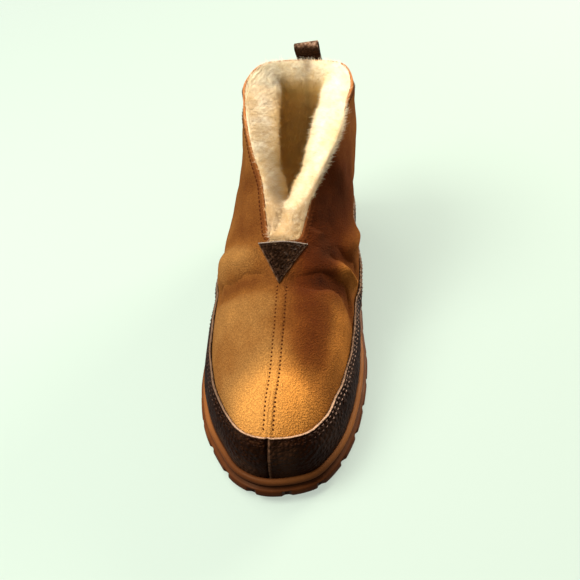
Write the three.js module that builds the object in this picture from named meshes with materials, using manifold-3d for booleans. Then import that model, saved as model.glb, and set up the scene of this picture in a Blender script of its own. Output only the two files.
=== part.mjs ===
// Bootie slipper for the right foot: a suede upper with a thick pile lining, a leather foxing round its
// foot, a leather patch under the throat, a pull loop at the heel and a moulded sole with lugs.
// Millimetres, +Z up from the floor. The toe points along -Y and the inner side of the foot is +X.
import * as THREE from "three";
import { mergeVertices } from "three/addons/utils/BufferGeometryUtils.js";
import Module from "manifold-3d";

const wasm = await Module();
wasm.setup();

// Driving sizes of the whole slipper
const LENGTH = 298; // outsole, toe tip to heel
const HALF_WIDTH = 57.9; // half of the outsole's width at the ball
const COLLAR_HEIGHT = 147; // highest suede edge above the floor
const COLLAR_HALF = 38.3; // half of the collar's outer width
const TOE_SPRING = 4; // the toe's lift off the floor
const ARCH_LIFT = 2.5; // the waist's lift off the floor

// Sole
const RIM_HEIGHT = 14; // top of the cup's rim above the tread
const CUP_FLOOR = 7; // inside of the cup above the tread
const LEDGE = 6; // the sole's reach beyond the foxing
const LUG_DEPTH = 3.2;
const LUG_PITCH = 23;
const LUG_NOTCH = 3.6; // width of the gap between two lugs
const NOTCH_BITE = 2.2; // how far a notch goes into the sole's side
const NOTCH_HEIGHT = 5.6; // how far a notch goes up the sole's side
const CHANNEL_INSET = 15; // from the sole's edge to the channel behind the lugs
const CHANNEL_WIDTH = 4;
const BAR_PITCH = 17; // tread bars inside the channel
const BAR_GAP = 4;

// Sheet materials and the clearance between neighbours
const GAP = 0.3;
const FOXING_GAP = 0.45; // under the foxing, which bends round the toe in wider facets
const SUEDE = 1.6;
const FOXING = 1.8;
const PATCH = 1.6;
const STRAP = 1.6;
const PILE = 21; // pile at the collar and throat
const PILE_FOOT = 9; // pile around the foot
const PILE_PUFF = 6; // rise of the pile between the collar's edges
const INSOLE = 8;

// Throat patch, a triangle that points at the toe
const PATCH_WIDTH = 34;
const PATCH_HEIGHT = 30;
const PATCH_RISE = 2; // past the foot of the throat
const PATCH_SIDE = -1; // off the seam

// Pull loop, a folded strap sewn on the back of the collar
const LOOP_WIDTH = 18;
const LOOP_RISE = 13; // above the collar
const LOOP_SEWN = 16; // below the collar
const LOOP_DEPTH = 6.6; // across the open fold
const LOOP_TILT = THREE.MathUtils.degToRad(9);
const LOOP_SIDE = 3.5; // off the back seam

// Sections from toe to heel. along, lateral and medial place the outsole's edge, as shares of LENGTH and
// HALF_WIDTH. topAlong, topHeight and gap place the upper's top line, as shares of LENGTH, COLLAR_HEIGHT and
// COLLAR_HALF: the ridge of the vamp, then the throat, then the collar, with centre off the middle plane in
// millimetres. slope is the top line's rise, fan the direction in which the wall leaves it in plan (0 to the
// toe, 90 to the side, 180 to the heel) and drop how steeply it goes down, in degrees. wall and crown are the
// lengths of the wall's two tangents, as shares of its chord, lean tips the wall's foot outwards, in degrees,
// and foxing is the height of the foxing's edge.
const COLUMNS = [
  "along", "lateral", "medial", "topAlong", "topHeight", "gap", "centre",
  "slope", "fan", "drop", "wall", "crown", "lean", "foxing",
];
const SECTIONS = {
  toe: [0, 0.04, 0.04, 0.124, 0.415, 0, 3.4, 16, 0, 0, 0.5, 0.4, 2, 44],
  toeCorner: [0.025, -0.33, 0.512, 0.138, 0.424, 0, 3.8, 16, 35, 0, 0.5, 0.42, 2, 43],
  toeSide: [0.084, -0.585, 0.76, 0.168, 0.442, 0, 4, 16, 62, 0, 0.48, 0.44, 2, 41],
  joint: [0.171, -0.83, 0.918, 0.221, 0.474, 0, 3.9, 17, 82, 0, 0.46, 0.45, 2, 41.5],
  ball: [0.279, -0.966, 0.99, 0.295, 0.517, 0, 3.5, 18, 90, 0, 0.45, 0.45, 2, 40.5],
  waist: [0.386, -1, 0.988, 0.376, 0.571, 0, 2.8, 22, 90, 0, 0.46, 0.45, 3, 40],
  throatBase: [0.47, -0.972, 0.925, 0.4537, 0.65, 0, 1.9, 28, 90, 6, 0.47, 0.45, 7, 40],
  throatRound: [0.51, -0.955, 0.9, 0.4705, 0.655, 0.26, 1.8, 32, 90, 20, 0.48, 0.45, 11.5, 40],
  throatLow: [0.55, -0.932, 0.88, 0.506, 0.697, 0.36, 1.8, 35, 90, 34, 0.48, 0.43, 15, 40.5],
  throatMid: [0.611, -0.895, 0.85, 0.58, 0.811, 0.5, 2.1, 34, 90, 55, 0.45, 0.38, 16, 41],
  throatHigh: [0.681, -0.825, 0.8, 0.657, 0.925, 0.77, 2.5, 25, 90, 74, 0.4, 0.34, 13, 42],
  collarFront: [0.762, -0.755, 0.76, 0.755, 1, 0.95, 2.6, 5, 90, 86, 0.36, 0.33, 8, 43],
  collarSide: [0.856, -0.705, 0.735, 0.856, 0.995, 1, 2.3, -5, 104, 88, 0.36, 0.33, 6, 44],
  heelCorner: [0.953, -0.505, 0.535, 0.945, 0.98, 0.74, 2.3, -5, 142, 88, 0.36, 0.33, 5, 45],
  heel: [1, 0.015, 0.015, 0.967, 0.973, 0, 2.3, 0, 180, 88, 0.36, 0.33, 4, 45],
};
const ROWS = Object.values(SECTIONS);
const LAST = ROWS.length - 1;
const THROAT_ROW = Object.keys(SECTIONS).indexOf("throatBase");
const RISE_STEPS = 8; // mesh steps from the sole to the top line

// Mesh steps between two sections, counted in sections: fewer in the throat, where the sections lie close
const stepsAfter = (row) => (row >= THROAT_ROW && row < THROAT_ROW + 3 ? 2 : 3);
const halfSteps = ROWS.slice(1).flatMap((_, row) =>
  Array.from({ length: stepsAfter(row) }, (_, i) => row + i / stepsAfter(row)),
);
const returnSteps = halfSteps.slice(1).reverse().map((u) => 2 * LAST - u);
const loopSteps = [...halfSteps, LAST, ...returnSteps];
const coarseSteps = loopSteps.filter((_, i) => i % 2 === 0 || i === loopSteps.length / 2);

const rad = THREE.MathUtils.degToRad;
const vec = (x, y, z) => new THREE.Vector3(x, y, z);
const clamp01 = (v) => Math.min(1, Math.max(0, v));
const smooth = (v) => clamp01(v) ** 2 * (3 - 2 * clamp01(v));

// The loop runs from the toe along the medial side to the heel and back along the lateral side.
function loopOf(medialColumn, lateralColumn) {
  const pick = (name) => ROWS.map((row) => row[COLUMNS.indexOf(name)]);
  return [...pick(medialColumn), ...pick(lateralColumn).slice(1, LAST).reverse()];
}
const LOOPS = Object.fromEntries(COLUMNS.map((name) => [name, loopOf(name, name)]));
LOOPS.across = loopOf("medial", "lateral");

// A closed Catmull-Rom curve through one column of the sections, where u counts sections round the loop.
function column(name, u) {
  const values = LOOPS[name];
  const i = Math.floor(u);
  const f = u - i;
  const at = (k) => values[(k + values.length) % values.length];
  const [a, b, c, d] = [at(i - 1), at(i), at(i + 1), at(i + 2)];
  return b + 0.5 * f * (c - a + f * (2 * a - 5 * b + 4 * c - d + f * (3 * (b - c) + d - a)));
}

const sideOf = (u) => (u <= LAST ? 1 : -1);
const lengthwise = (share) => (share - 0.5) * LENGTH;

// The floor's distance under the sole: the toe springs up, and the edge of the waist is arched.
function toeLift(y) {
  return TOE_SPRING * clamp01((-y - 0.27 * LENGTH) / (0.23 * LENGTH)) ** 2;
}
function archLift(y) {
  return ARCH_LIFT * smooth(1 - Math.abs(y - 0.1 * LENGTH) / (0.16 * LENGTH));
}

// A point of the outsole's edge in plan, with its outward normal.
function edgeAt(u) {
  const place = (v) => vec(column("across", v) * HALF_WIDTH, lengthwise(column("along", v)), 0);
  const before = place(u - 0.01);
  const after = place(u + 0.01);
  const normal = vec(after.y - before.y, before.x - after.x, 0).normalize();
  return { point: place(u), normal };
}

// One rib of the upper's outer face, moved inwards by inset: a Bezier curve from the cup's floor to the top line.
function ribAt(u, inset) {
  const side = sideOf(u);
  const { point, normal } = edgeAt(u);
  const foot = point.addScaledVector(normal, -(LEDGE + FOXING + FOXING_GAP + inset));
  foot.z = CUP_FLOOR + GAP + toeLift(foot.y);

  const slope = rad(column("slope", u));
  const fan = rad(column("fan", u));
  const drop = rad(column("drop", u));
  const onRidge = u <= THROAT_ROW || u >= 2 * LAST - THROAT_ROW;
  const gap = onRidge ? 0 : Math.max(0, column("gap", u));
  const away = vec(side * Math.sin(fan), -Math.cos(fan) * Math.cos(slope), -Math.cos(fan) * Math.sin(slope));
  const up = vec(0, -Math.sin(slope), Math.cos(slope));
  const tip = onRidge ? 0 : drop;
  const topNormal = up.multiplyScalar(Math.cos(tip)).addScaledVector(away, Math.sin(tip));
  const top = vec(
    column("centre", u) + side * gap * COLLAR_HALF,
    lengthwise(column("topAlong", u)),
    column("topHeight", u) * COLLAR_HEIGHT,
  ).addScaledVector(topNormal, -inset);

  const chord = foot.distanceTo(top);
  const lean = rad(column("lean", u));
  const footHandle = foot.clone()
    .addScaledVector(normal, Math.sin(lean) * column("wall", u) * chord)
    .add(vec(0, 0, Math.cos(lean) * column("wall", u) * chord));
  const topHandle = top.clone()
    .addScaledVector(away, Math.cos(drop) * column("crown", u) * chord)
    .add(vec(0, 0, -Math.sin(drop) * column("crown", u) * chord));
  return new THREE.CubicBezierCurve3(foot, footHandle, topHandle, top);
}

// The share of a rib at which it reaches a height.
function shareAtHeight(rib, height) {
  let low = 0;
  let high = 1;
  for (let i = 0; i < 24; i++) {
    const middle = (low + high) / 2;
    if (rib.getPoint(middle).z < height) low = middle;
    else high = middle;
  }
  return low;
}

// A ring of points round the slipper at one share of each rib.
function ring(share, inset) {
  return loopSteps.map((u) => ribAt(u, inset).getPoint(share));
}
function rings(count, inset, top = 1) {
  return Array.from({ length: count + 1 }, (_, k) => ring((k / count) * top, inset));
}

// A mesh from quads and triangles of points. Faces that shrink to nothing on the vamp's ridge are dropped.
function solidOf(faces) {
  const positions = [];
  for (const face of faces)
    for (let k = 2; k < face.length; k++)
      for (const p of [face[0], face[k - 1], face[k]]) positions.push(p.x, p.y, p.z);
  const raw = new THREE.BufferGeometry();
  raw.setAttribute("position", new THREE.Float32BufferAttribute(positions, 3));
  return solidFromGeometry(raw);
}
function solidFromGeometry(geometry) {
  const bare = new THREE.BufferGeometry();
  const source = geometry.index ? geometry.toNonIndexed() : geometry;
  bare.setAttribute("position", source.getAttribute("position"));
  const merged = mergeVertices(bare, 1e-3);
  const index = merged.index.array;
  const triVerts = [];
  for (let i = 0; i < index.length; i += 3) {
    const [a, b, c] = [index[i], index[i + 1], index[i + 2]];
    if (a !== b && b !== c && c !== a) triVerts.push(a, b, c);
  }
  return new wasm.Manifold(new wasm.Mesh({
    numProp: 3,
    vertProperties: new Float32Array(merged.attributes.position.array),
    triVerts: new Uint32Array(triVerts),
  }));
}
function geometryOf(solid) {
  const mesh = solid.getMesh();
  const geometry = new THREE.BufferGeometry();
  geometry.setAttribute("position", new THREE.BufferAttribute(mesh.vertProperties, mesh.numProp));
  geometry.setIndex(new THREE.BufferAttribute(mesh.triVerts, 1));
  geometry.computeVertexNormals();
  return geometry;
}

// Quads between two rings that run anticlockwise seen from above, facing outwards when upper is above lower.
function band(lower, upper, from = 0, to = lower.length) {
  const faces = [];
  for (let i = from; i < to; i++) {
    const j = (i + 1) % lower.length;
    faces.push([lower[i], lower[j], upper[j], upper[i]]);
  }
  return faces;
}
const flip = (faces) => faces.map(([first, ...others]) => [first, ...others.reverse()]);

// A lid over a ring: rows of points that join its medial to its lateral side, raised by rise(row, share).
function lid(edge, columns = 1, rise = () => 0) {
  const half = edge.length / 2;
  const acrossRow = (i) =>
    Array.from({ length: columns + 1 }, (_, k) => {
      const far = edge[(edge.length - i) % edge.length];
      const fullness = clamp01(edge[i].distanceTo(far) / COLLAR_HALF);
      const p = edge[i].clone().lerp(far, k / columns);
      p.z += fullness * rise(i, k / columns);
      return p;
    });
  const faces = [];
  for (let i = 0; i < half; i++) {
    const near = acrossRow(i);
    const far = acrossRow(i + 1);
    for (let k = 0; k < columns; k++) faces.push([near[k], far[k], far[k + 1], near[k + 1]]);
  }
  return faces;
}

// A closed form from a stack of rings.
function formOf(stack, lidColumns, rise) {
  const faces = [...flip(lid(stack[0])), ...lid(stack.at(-1), lidColumns, rise)];
  for (let k = 1; k < stack.length; k++) faces.push(...band(stack[k - 1], stack[k]));
  return solidOf(faces);
}

// Suede upper: a wall open at the collar, at the throat and underneath
function upperSolid() {
  const outer = rings(RISE_STEPS, 0);
  const inner = rings(RISE_STEPS, SUEDE);
  const faces = flip(band(outer[0], inner[0]));
  for (let k = 1; k < outer.length; k++) {
    faces.push(...band(outer[k - 1], outer[k]));
    faces.push(...flip(band(inner[k - 1], inner[k])));
  }
  const openFrom = loopSteps.indexOf(THROAT_ROW);
  faces.push(...band(outer.at(-1), inner.at(-1), openFrom, loopSteps.length - openFrom));
  return solidOf(faces);
}

// Pile lining: the space inside the suede less the foot's space, whose mouth is rounded and a little uneven
function liningSolid() {
  const outside = SUEDE + GAP;
  const rowOf = (u) => Math.min(u, 2 * LAST - u);
  const puff = (i, share) => {
    const parted = smooth((THROAT_ROW + 5 - loopSteps[i]) / 3);
    const rolls = Math.abs(Math.sin(2 * Math.PI * share));
    const clear = smooth((rowOf(loopSteps[i]) - THROAT_ROW - 0.4) / 1.2); // flat beside the patch
    return clear * PILE_PUFF * (parted * rolls + (1 - parted) * Math.sin(Math.PI * share));
  };
  const skin = formOf(rings(RISE_STEPS, outside), 6, puff);
  const throatShare = (u) => smooth((rowOf(u) - THROAT_ROW + 1) / 3);
  const mouthShare = (u) => smooth((column("drop", u) - 25) / 25);
  const footShares = [0, 0.25, 0.5, 0.7, 0.86, 0.94, 1];
  const stack = footShares.map((share) =>
    loopSteps.map((u, i) => {
      const tuft = 0.5 * Math.sin(2.3 * i) * smooth((share - 0.5) * 2);
      const pile = PILE_FOOT + (PILE - PILE_FOOT) * throatShare(u) * smooth((share - 0.35) / 0.5) + tuft;
      const rounding = 1 - 0.28 * mouthShare(u) * smooth((share - 0.86) / 0.14);
      return ribAt(u, outside + pile * rounding).getPoint(share);
    }),
  );
  const mouth = stack.at(-1).map((p, i) => p.clone().add(vec(0, 0, 18 * mouthShare(loopSteps[i]))));
  const below = stack[0].map((p) => p.clone().add(vec(0, 0, -4)));
  return skin.subtract(formOf([below, ...stack, mouth]));
}

// Half of the foxing: a leather band on the upper's outer face from the toe's seam to the heel's seam
function foxingSolid(places) {
  const rows = 3;
  const seam = 0.008; // half of the gap at each seam, in sections
  const steps = places.length - 1;
  const face = (inset) =>
    Array.from({ length: rows + 1 }, (_, k) =>
      places.map((place) => {
        const u = THREE.MathUtils.clamp(place, places[0] + seam, places[steps] - seam);
        const rib = ribAt(u, 0);
        const top = shareAtHeight(rib, column("foxing", u) + 0.6 * toeLift(rib.v0.y));
        return ribAt(u, inset).getPoint((k / rows) * top);
      }),
    );
  const outer = face(-FOXING_GAP - FOXING);
  const inner = face(-FOXING_GAP);
  const faces = [];
  for (let i = 0; i < steps; i++) {
    for (let k = 0; k < rows; k++) {
      faces.push([outer[k][i], outer[k][i + 1], outer[k + 1][i + 1], outer[k + 1][i]]);
      faces.push([inner[k][i], inner[k + 1][i], inner[k + 1][i + 1], inner[k][i + 1]]);
    }
    faces.push([inner[0][i], inner[0][i + 1], outer[0][i + 1], outer[0][i]]);
    faces.push([outer[rows][i], outer[rows][i + 1], inner[rows][i + 1], inner[rows][i]]);
  }
  for (let k = 0; k < rows; k++) {
    faces.push([inner[k][0], outer[k][0], outer[k + 1][0], inner[k + 1][0]]);
    faces.push([outer[k][steps], inner[k][steps], inner[k + 1][steps], outer[k + 1][steps]]);
  }
  return solidOf(faces);
}

// Throat patch: the triangle of a thin shell just outside the suede
function patchSolid() {
  const slope = rad(24);
  const base = ribAt(THROAT_ROW, 0).v3;
  const outline = new THREE.Shape([
    new THREE.Vector2(-PATCH_WIDTH / 2, 0),
    new THREE.Vector2(0, -PATCH_HEIGHT),
    new THREE.Vector2(PATCH_WIDTH / 2, 0),
  ]);
  const reach = 40;
  const prism = new THREE.ExtrudeGeometry(outline, { depth: 2 * reach, bevelEnabled: false });
  prism.translate(PATCH_SIDE, PATCH_RISE, -reach);
  prism.rotateX(slope);
  prism.translate(base.x, base.y, base.z);
  const shell = formOf(rings(RISE_STEPS, -GAP - PATCH)).subtract(formOf(rings(RISE_STEPS, -GAP)));
  return solidFromGeometry(prism).intersect(shell);
}

// Pull loop: the outline of a folded strap, extruded across the back seam
function loopGeometry() {
  const half = LOOP_DEPTH / 2;
  const bend = half - STRAP; // inner radius of the fold
  const foldAt = LOOP_RISE - half;
  const waistAt = 3; // where the two layers close up above the collar
  const shape = new THREE.Shape();
  shape.moveTo(0, -LOOP_SEWN);
  shape.lineTo(STRAP, -LOOP_SEWN);
  shape.lineTo(STRAP, waistAt);
  shape.quadraticCurveTo(half, waistAt + 3, half, foldAt);
  shape.absarc(0, foldAt, half, 0, Math.PI, false);
  shape.quadraticCurveTo(-half, waistAt + 3, -STRAP, waistAt);
  shape.lineTo(-STRAP, -LOOP_SEWN);
  shape.lineTo(-GAP, -LOOP_SEWN);
  shape.lineTo(-GAP, waistAt);
  shape.quadraticCurveTo(-bend, waistAt + 4, -bend, foldAt);
  shape.absarc(0, foldAt, bend, Math.PI, 0, true);
  shape.quadraticCurveTo(bend, waistAt + 4, GAP, waistAt);
  shape.lineTo(0, waistAt - 1);
  return new THREE.ExtrudeGeometry(shape, { depth: LOOP_WIDTH, bevelEnabled: false, curveSegments: 8 })
    .translate(0, 0, -LOOP_WIDTH / 2);
}

// Insole: a padded footbed inside the lining, on the cup's floor
function insoleSolid() {
  const inset = SUEDE + GAP + PILE_FOOT + GAP + 1;
  const level = (height, shrink) =>
    coarseSteps.map((u) => ribAt(u, inset + shrink).v0.add(vec(0, 0, height)));
  return formOf([level(0, 0), level(INSOLE - 2, 0), level(INSOLE, 2)]);
}

// The sole's side, from the tread up: how far each step lies inside the sole's edge, and its height
const SOLE_PROFILE = [
  { inset: 1.4, height: 0 },
  { inset: 0, height: 1.8 },
  { inset: 0.4, height: 6.6 },
  { inset: 3, height: 7.4 },
  { inset: 3.6, height: 8.6 },
  { inset: 2.5, height: 9.6 },
  { inset: 2.3, height: 11.6 },
  { inset: 3.1, height: 13.4 },
  { inset: 4.6, height: RIM_HEIGHT },
];
function soleRing({ inset, height }, steps = loopSteps) {
  return steps.map((u) => {
    const { point, normal } = edgeAt(u);
    const p = point.addScaledVector(normal, -inset);
    p.z = height + toeLift(p.y) + archLift(p.y) * clamp01(1 - height / 4);
    return p;
  });
}

// A straight cutter on the sole's underside, from one point of the plan to another
function trench(from, to, width, height) {
  const run = to.clone().sub(from);
  const box = new THREE.BoxGeometry(run.length(), width, 2 * height);
  box.rotateZ(Math.atan2(run.y, run.x));
  box.translate((from.x + to.x) / 2, (from.y + to.y) / 2, toeLift((from.y + to.y) / 2));
  return solidFromGeometry(box);
}

// Evenly spaced places round the sole's edge
function edgePlaces(pitch) {
  const fine = 40 * LAST;
  const samples = Array.from({ length: fine + 1 }, (_, i) => edgeAt((2 * LAST * (i % fine)) / fine));
  const lengths = [0];
  for (let i = 1; i <= fine; i++)
    lengths.push(lengths[i - 1] + samples[i].point.distanceTo(samples[i - 1].point));
  const count = Math.round(lengths[fine] / pitch);
  return Array.from({ length: count }, (_, k) => {
    const wanted = ((k + 0.5) / count) * lengths[fine];
    return samples[lengths.findIndex((at) => at >= wanted)];
  });
}

// Moulded sole: a cup with a rim, a groove round its side, lugs along its edge and bars in the middle
function soleSolid() {
  let sole = formOf(SOLE_PROFILE.map((step) => soleRing(step)));
  const clearance = -FOXING_GAP - FOXING - GAP;
  const cup = rings(4, clearance, 0.35);
  cup[0].forEach((p) => (p.z -= GAP));
  sole = sole.subtract(formOf(cup));

  const cutters = edgePlaces(LUG_PITCH).flatMap(({ point, normal }) => {
    const outside = point.clone().addScaledVector(normal, 2);
    const bite = point.clone().addScaledVector(normal, -NOTCH_BITE);
    const inside = point.clone().addScaledVector(normal, -CHANNEL_INSET - CHANNEL_WIDTH / 2);
    return [
      trench(outside, bite, LUG_NOTCH - 0.4, NOTCH_HEIGHT),
      trench(outside, inside, LUG_NOTCH, LUG_DEPTH),
    ];
  });
  const wallAt = (inset, height) =>
    soleRing({ inset, height }, coarseSteps).map((p) => vec(p.x, p.y, height + toeLift(p.y)));
  const plug = (inset, depth) => formOf([wallAt(inset, -6), wallAt(inset, depth)]);
  const channelEnd = CHANNEL_INSET + CHANNEL_WIDTH;
  const field = plug(channelEnd, 2 * LUG_DEPTH);
  cutters.push(plug(CHANNEL_INSET, LUG_DEPTH - 0.2).subtract(field));
  const barReach = plug(channelEnd - 1, 2 * LUG_DEPTH);
  const barCount = Math.floor((LENGTH - 2 * CHANNEL_INSET) / BAR_PITCH);
  for (let k = 0; k < barCount; k++) {
    const y = (k - (barCount - 1) / 2) * BAR_PITCH;
    const bar = trench(vec(-HALF_WIDTH, y, 0), vec(HALF_WIDTH, y, 0), BAR_GAP, LUG_DEPTH - 0.4);
    cutters.push(bar.intersect(barReach));
  }
  return cutters.reduce((left, cutter) => left.subtract(cutter), sole);
}

// Materials, with the colours that the slipper shows
const finish = (color, roughness) => new THREE.MeshStandardMaterial({ color, roughness, metalness: 0 });
const suede = finish(0xa8742f, 0.95);
const pile = finish(0xf0e2c0, 1);
const leather = finish(0x2e1a12, 0.5);
const rubber = finish(0x9a5f2c, 0.6);

function piece(name, geometry, material) {
  const mesh = new THREE.Mesh(geometry, material);
  mesh.name = name;
  return mesh;
}

const slipper = new THREE.Group();
slipper.add(
  piece("outsole", geometryOf(soleSolid()), rubber),
  piece("insole", geometryOf(insoleSolid()), pile),
  piece("upper", geometryOf(upperSolid()), suede),
  piece("lining", geometryOf(liningSolid()), pile),
  piece("foxing_medial", geometryOf(foxingSolid([...halfSteps, LAST])), leather),
  piece("foxing_lateral", geometryOf(foxingSolid([LAST, ...returnSteps, 2 * LAST])), leather),
  piece("throat_patch", geometryOf(patchSolid()), leather),
);

// The loop stands on the outer face of the upper's back, tipped a little to one side.
const back = ribAt(LAST, 0).v3;
const loop = piece("pull_loop", loopGeometry(), leather);
loop.rotation.set(Math.PI / 2, Math.PI / 2, 0);
const loopSeat = new THREE.Group();
loopSeat.position.set(back.x + LOOP_SIDE, back.y + STRAP + GAP + 0.5, back.z);
loopSeat.rotation.y = -LOOP_TILT;
loopSeat.add(loop);
slipper.add(loopSeat);

export default slipper;
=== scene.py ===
"""Looks of one bootie slipper: suede upper, fleece lining, leather bands, patch and loop, gum sole.

The form functions work in the slipper's own sizes, in millimetres; pieces are made in metres.
A place on the upper is u, sections round the foot from the toe, and a share of the way up, 0 to 1.
"""
import math

import bmesh
import bpy
import numpy as np
from mathutils import Matrix, Quaternion, Vector


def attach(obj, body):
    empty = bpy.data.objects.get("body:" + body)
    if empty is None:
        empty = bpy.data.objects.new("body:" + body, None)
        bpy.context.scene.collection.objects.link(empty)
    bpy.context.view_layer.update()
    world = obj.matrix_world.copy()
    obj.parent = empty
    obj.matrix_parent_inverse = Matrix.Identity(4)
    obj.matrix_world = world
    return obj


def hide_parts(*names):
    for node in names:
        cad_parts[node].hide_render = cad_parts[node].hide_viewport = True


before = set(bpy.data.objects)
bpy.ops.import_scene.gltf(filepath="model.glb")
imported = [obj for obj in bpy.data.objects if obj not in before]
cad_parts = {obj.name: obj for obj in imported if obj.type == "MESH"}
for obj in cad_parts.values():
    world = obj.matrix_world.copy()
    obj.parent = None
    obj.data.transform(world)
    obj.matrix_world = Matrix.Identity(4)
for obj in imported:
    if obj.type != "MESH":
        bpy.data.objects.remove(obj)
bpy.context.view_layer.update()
MM = 0.001
UP = np.array([0, 0, 1.0])

# Sizes, as in the solids
LENGTH, HALF_WIDTH = 298.0, 57.9
COLLAR_HEIGHT, COLLAR_HALF = 147.0, 38.3
TOE_SPRING, ARCH_LIFT = 4.0, 2.5
CUP_FLOOR, LEDGE = 7.0, 6.0
GAP, FOXING_GAP, FOXING, SUEDE = 0.3, 0.45, 1.8, 1.6
FOXING_SPRING = 0.6
PILE, PILE_FOOT, INSOLE = 21.0, 9.0, 8.0
LUG_PITCH, LUG_NOTCH, LUG_DEPTH = 23.0, 3.6, 3.2
NOTCH_BITE, NOTCH_HEIGHT = 2.2, 5.6
CHANNEL_INSET, CHANNEL_WIDTH = 15.0, 4.0
BAR_PITCH, BAR_GAP, BAR_SLANT = 17.0, 4.0, 0.3
PATCH_WIDTH, PATCH_HEIGHT, PATCH_SLOPE = 34.0, 30.0, math.radians(24)
PATCH_RISE, PATCH_SIDE = 2.0, -1.0

# Sections from toe to heel
COLUMNS = "along lateral medial topAlong topHeight gap centre slope fan drop wall crown lean foxing".split()
SECTIONS = {
    "toe": [0, 0.04, 0.04, 0.124, 0.415, 0, 3.4, 16, 0, 0, 0.5, 0.4, 2, 44],
    "toeCorner": [0.025, -0.33, 0.512, 0.138, 0.424, 0, 3.8, 16, 35, 0, 0.5, 0.42, 2, 43],
    "toeSide": [0.084, -0.585, 0.76, 0.168, 0.442, 0, 4, 16, 62, 0, 0.48, 0.44, 2, 41],
    "joint": [0.171, -0.83, 0.918, 0.221, 0.474, 0, 3.9, 17, 82, 0, 0.46, 0.45, 2, 41.5],
    "ball": [0.279, -0.966, 0.99, 0.295, 0.517, 0, 3.5, 18, 90, 0, 0.45, 0.45, 2, 40.5],
    "waist": [0.386, -1, 0.988, 0.376, 0.571, 0, 2.8, 22, 90, 0, 0.46, 0.45, 3, 40],
    "throatBase": [0.47, -0.972, 0.925, 0.4537, 0.65, 0, 1.9, 28, 90, 6, 0.47, 0.45, 7, 40],
    "throatRound": [0.51, -0.955, 0.9, 0.4705, 0.655, 0.26, 1.8, 32, 90, 20, 0.48, 0.45, 11.5, 40],
    "throatLow": [0.55, -0.932, 0.88, 0.506, 0.697, 0.36, 1.8, 35, 90, 34, 0.48, 0.43, 15, 40.5],
    "throatMid": [0.611, -0.895, 0.85, 0.58, 0.811, 0.5, 2.1, 34, 90, 55, 0.45, 0.38, 16, 41],
    "throatHigh": [0.681, -0.825, 0.8, 0.657, 0.925, 0.77, 2.5, 25, 90, 74, 0.4, 0.34, 13, 42],
    "collarFront": [0.762, -0.755, 0.76, 0.755, 1, 0.95, 2.6, 5, 90, 86, 0.36, 0.33, 8, 43],
    "collarSide": [0.856, -0.705, 0.735, 0.856, 0.995, 1, 2.3, -5, 104, 88, 0.36, 0.33, 6, 44],
    "heelCorner": [0.953, -0.505, 0.535, 0.945, 0.98, 0.74, 2.3, -5, 142, 88, 0.36, 0.33, 5, 45],
    "heel": [1, 0.015, 0.015, 0.967, 0.973, 0, 2.3, 0, 180, 88, 0.36, 0.33, 4, 45],
}
ROWS = np.array(list(SECTIONS.values()), float)
LAST = len(ROWS) - 1
ROUND = 2 * LAST
THROAT = list(SECTIONS).index("throatBase")


def round_loop(near, far):
    back = ROWS[1:LAST, COLUMNS.index(far)][::-1]
    return np.concatenate([ROWS[:, COLUMNS.index(near)], back])


LOOPS = {name: round_loop(name, name) for name in COLUMNS}
LOOPS["across"] = round_loop("medial", "lateral")


def smooth(x, reach=1):
    """A soft rise from 0 to 1 while x goes from 0 to reach."""
    x = np.clip(x / reach, 0, 1)
    return x * x * (3 - 2 * x)


def bell(x, width):
    return np.exp(-((x / width) ** 2))


def norm(v):
    return np.linalg.norm(v, axis=-1)


def unit(v):
    return v / np.maximum(norm(v), 1e-9)[..., None]


def column(name, u):
    """A column of the sections, carried on smoothly between them."""
    values = LOOPS[name]
    i = np.floor(u).astype(int)
    f = u - i
    a, b, c, d = (values[(i + k) % len(values)] for k in (-1, 0, 1, 2))
    return b + 0.5 * f * (c - a + f * (2 * a - 5 * b + 4 * c - d + f * (3 * (b - c) + d - a)))


def from_toe(u):
    """Sections from the toe, on either side."""
    return np.minimum(u, ROUND - u)


def side_of(u):
    """1 on the medial side, -1 on the lateral side."""
    return np.where(u <= LAST, 1.0, -1.0)


def on_ridge(u):
    """Where the two sides meet in a closed seam, from the toe to the throat."""
    return from_toe(u) <= THROAT


def toe_lift(y):
    return TOE_SPRING * np.clip((-y - 0.27 * LENGTH) / (0.23 * LENGTH), 0, 1) ** 2


def arch_lift(y):
    return ARCH_LIFT * smooth(1 - np.abs(y - 0.1 * LENGTH) / (0.16 * LENGTH))


def edge(u):
    """A point of the sole's edge in plan, with its outward normal."""

    def place(v):
        return np.stack([column("across", v) * HALF_WIDTH, (column("along", v) - 0.5) * LENGTH], -1)

    a, b = place(u - 0.01), place(u + 0.01)
    return place(u), unit(np.stack([b[..., 1] - a[..., 1], a[..., 0] - b[..., 0]], -1))


def ridge_up(slope):
    return np.stack([0 * slope, -np.sin(slope), np.cos(slope)], -1)


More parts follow.
